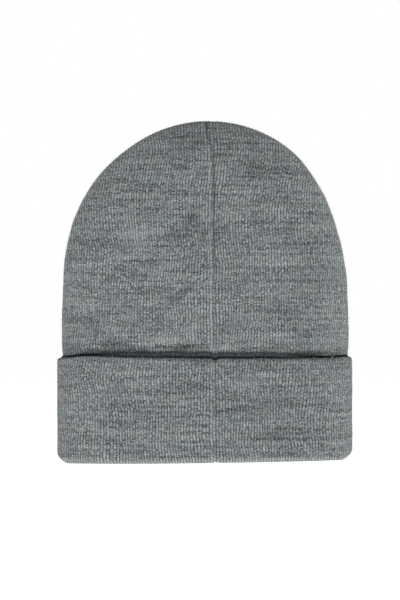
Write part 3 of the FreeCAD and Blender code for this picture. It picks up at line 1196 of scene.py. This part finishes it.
label = {
    "top": 49.5 * mm,  # its sewn edge
    "ply": 0.35 * mm,
    "leafGap": 0.25 * mm,
    "rows": 40,
    "columns": 36,
    "ripple": 0.25 * mm,
    "marginBack": 29.95 * mm,  # how far behind the middle its sewn edge lies
}


# a blank tape folded at its foot, with both ends under the stitches
def careLabel(material):
    width = labelHigh.x - labelLow.x
    middleY = (labelLow.y + labelHigh.y) / 2
    apart = (label["ply"] + label["leafGap"]) / 2
    foot = labelLow.z + apart + label["ply"] / 2
    rows, half = label["rows"], label["ply"] / 2

    def hang(z):  # from the sewn edge against the lining to where it hangs free
        free = 1 - smooth(labelHigh.z - 3 * mm, label["top"] - 1.5 * mm, z)
        return -label["marginBack"] + (middleY + label["marginBack"]) * free

    line = []
    for z in evenly(label["top"], foot, rows):
        line.append((hang(z) - apart, z))
    for k in range(1, 8):
        angle = math.pi * k / 8
        line.append((hang(foot) - apart * math.cos(angle), foot - apart * math.sin(angle)))
    line += [(hang(z) + apart, z) for y, z in reversed(line[: rows + 1])]
    count, runs = len(line), runsAlong(line)
    sides = []
    for k in range(count):
        (y1, z1), (y2, z2) = line[max(0, k - 1)], line[min(count - 1, k + 1)]
        length = math.dist((y1, z1), (y2, z2))
        sides.append(((z2 - z1) / length, (y1 - y2) / length))
    build = newBuild()
    columns = label["columns"]
    for i in range(columns + 1):
        x = labelLow.x + width * i / columns
        for outward in (1, -1):
            for k in range(count):
                y, z = line[k]
                loose = smooth(0, 12 * mm, labelHigh.z - z)
                ripple = label["ripple"] * loose * waver(x * 90, z * 60, 2)
                y += sides[k][0] * half * outward + ripple
                z += sides[k][1] * half * outward
                build["points"].append((x, y, z))

    def at(i, outward, k):
        number = (i * 2 + (0 if outward > 0 else 1)) * count + k
        return number, (width * i / columns, runs[k])

    for k in range(count - 1):
        for i in range(columns):
            for o in (1, -1):
                face = [at(i, o, k), at(i, o, k + 1), at(i + 1, o, k + 1), at(i + 1, o, k)]
                addFace(build, face[::o])
        for i, turn in ((0, 1), (columns, -1)):
            face = [at(i, 1, k), at(i, -1, k), at(i, -1, k + 1), at(i, 1, k + 1)]
            addFace(build, face[::turn])
    for k, turn in ((0, 1), (count - 1, -1)):
        for i in range(columns):
            face = [at(i, 1, k), at(i + 1, 1, k), at(i + 1, -1, k), at(i, -1, k)]
            addFace(build, face[::turn])
    return finishMesh(build, "careLabel", material, "tape")


floor = {"half": 12, "height": -0.0665}  # so low that the turned-down cuff stays in view


def stage():
    mesh = bpy.data.meshes.new("floor")
    r, z = floor["half"], floor["height"]
    mesh.from_pydata([(-r, -r, z), (r, -r, z), (r, r, z), (-r, r, z)], [], [(0, 1, 2, 3)])
    constants = {
        "Base Color": (0.9, 0.9, 0.9, 1),
        "Roughness": 1,
        "Specular IOR Level": 0,
        "Emission Color": (1, 1, 1, 1),
        "Emission Strength": 0.95,
    }
    mesh.materials.append(startMaterial("paper", constants)[0])
    linked("floor", mesh)


lighting = {
    "room": 0.24,
    "aim": (0, 0, 0.11),
    "frontLight": ((-0.3, -1.7, 0.55), (1.6, 0.9), 22.3),  # place, size, watts
    "rightLight": ((1.3, 0.4, 0.05), (0.5, 0.5), 14),
    "behindLight": ((-0.5, 1.9, 0.35), (1.4, 0.9), 15),
}


def areaLight(name, place, size, watts):
    light = bpy.data.lights.new(name, "AREA")
    light.shape = "RECTANGLE"
    light.size, light.size_y = size
    light.energy = watts
    lamp = linked(name, light)
    lamp.location = place
    aim = Vector(lighting["aim"]) - Vector(place)
    lamp.rotation_euler = aim.to_track_quat("-Z", "Y").to_euler()


def lights():
    world = bpy.data.worlds.new("room")
    world.use_nodes = True
    tree = world.node_tree
    seen = outOf(tree, "ShaderNodeLightPath", which="Is Camera Ray")
    put(tree.nodes["Background"], "Color", (1, 1, 1, 1))
    put(tree.nodes["Background"], "Strength", seen * (1 - lighting["room"]) + lighting["room"])
    bpy.context.scene.world = world
    bpy.context.scene.view_settings.view_transform = "Standard"
    for name in ("frontLight", "rightLight", "behindLight"):
        areaLight(name, *lighting[name])


view = {
    "sensor": 36,  # mm
    "distance": 5.0,
    "tall": 0.3864,  # what the frame shows from top to bottom, at the hat
    "across": -0.0029,
    "up": 0.105,
}


def camera():
    data = bpy.data.cameras.new("camera")
    data.sensor_fit = "AUTO"
    data.sensor_width = view["sensor"]
    data.lens = view["sensor"] * view["distance"] / view["tall"]
    data.clip_end = 50
    eye = linked("camera", data)
    eye.location = (view["across"], -view["distance"], view["up"])
    eye.rotation_euler = (math.radians(90), 0, 0)
    bpy.context.scene.camera = eye


camera()
stage()
lights()
print("stage, lights and camera are up")

groups = {"loops": loopGroup(), "melange": melangeGroup(), "thread": threadGroup()}
knitOuter = knitMaterial("knitOuter", outerLook, groups)
knitLining = knitMaterial("knitLining", liningLook, groups)
seamThread = threadMaterial("seamThread", threadLook, groups)
labelTape = tapeMaterial("labelTape", tapeLook)
looseFibre = fibreMaterial("looseFibre", fibreLook)
print("yarn, thread and tape are mixed")


def joined(piece, body, node):
    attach(piece, body)
    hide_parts(node)
    return piece


outer = joined(outerKnit(knitOuter), "hat_body", "shell_outer_knit")
lining = joined(liningKnit(knitLining), "hat_body", "shell_lining_knit")
face = joined(cuffFace(knitOuter), "cuff", "cuff_face_knit")
behindFace = joined(cuffBack(knitLining), "cuff", "cuff_back_knit")
print("both plies of the hat and of the cuff are knitted")

sewing = stitchTree()
sink = stitching["outerSink"]
innerSkin = 2 * hat["plyThickness"] + hat["plyGap"]
reach, tackX = 2.6 * mm, lean(shellHigh.z)  # of the tacks at the top


def seamProud(x, z):
    return wallSwell(x, z, True) - sink + 0.15 * mm


def ends(row):
    return [value * mm for value in rowEnds[row]]


def sewn(name, kind, node, *paths, body="hat_body"):
    values = dict(stitching[kind], Thread=seamThread, Seed=len(name))
    piece = grownBy(sewing, name, pathMesh(name + "Path", paths), values)
    return joined(piece, body, node)


path = backPath(0, seamProud, *ends("back"))
backStitches = sewn("backSeamStitches", "outer", "shell_back_seam_thread", path)
darts = [
    ("Left", ridgePath(0, -sink, -1, *ends("sideDart"))),
    ("Right", ridgePath(0, -sink, 1, *ends("sideDart"))),
    ("Front", frontPath(0, -sink, *ends("frontDart"))),
]
for k, (side, path) in enumerate(darts):
    darts[k] = sewn("dartStitches" + side, "outer", "crown_dart_" + side.lower() + "_thread", path)
path = facingIn(backPath(innerSkin, lambda x, z: 0, *ends("liningBack")))
liningStitches = sewn("liningSeamStitches", "overlock", "lining_back_seam_thread", path)
paths = [ridgePath(innerSkin, 0, side, *ends("liningSideDart")) for side in (-1, 1)]
paths = [facingIn(path) for path in paths + [frontPath(innerSkin, 0, *ends("liningFrontDart"))]]
liningDartStitches = sewn("liningDartStitches", "overlock", "lining_dart_threads", *paths)
apexTack = sewn("apexTack", "tack", "crown_apex_tack", tackPath(0, reach, tackX))
path = facingIn(tackPath(innerSkin, reach, tackX))
liningTack = sewn("liningApexTack", "tack", "lining_apex_tack", path)
path = cuffSeamPath(*ends("cuff"))
cuffStitches = sewn("cuffSeamStitches", "outer", "cuff_back_seam_thread", path, body="cuff")
print("seams, darts and tacks are sewn")

tape = careLabel(labelTape)
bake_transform(tape)
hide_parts("care_label")
rowY = -label["marginBack"] + label["ply"] + label["leafGap"] / 2
rowZ = (tackLow.z + tackHigh.z) / 2
span = evenly(tackLow.x, tackHigh.x, 10)
path = [(Vector((x, rowY, rowZ)), Vector((0, 1, 0))) for x in span]
labelStitches = sewn("labelStitches", "label", "care_label_stitches", path)
print("the label is folded and sewn in")

fuzzing = {"Density": 110000.0, "Length": 1.9 * mm, "Thickness": 0.09 * mm, "Fibre": looseFibre}
growing = fibreTree()
hatFibres = grownBy(growing, "hatFibres", outer.data, dict(fuzzing, Seed=5))
cuffFibres = grownBy(growing, "cuffFibres", face.data, dict(fuzzing, Seed=11))
for piece, body in ((hatFibres, "hat_body"), (cuffFibres, "cuff")):
    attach(piece, body)
print("loose fibres are grown")
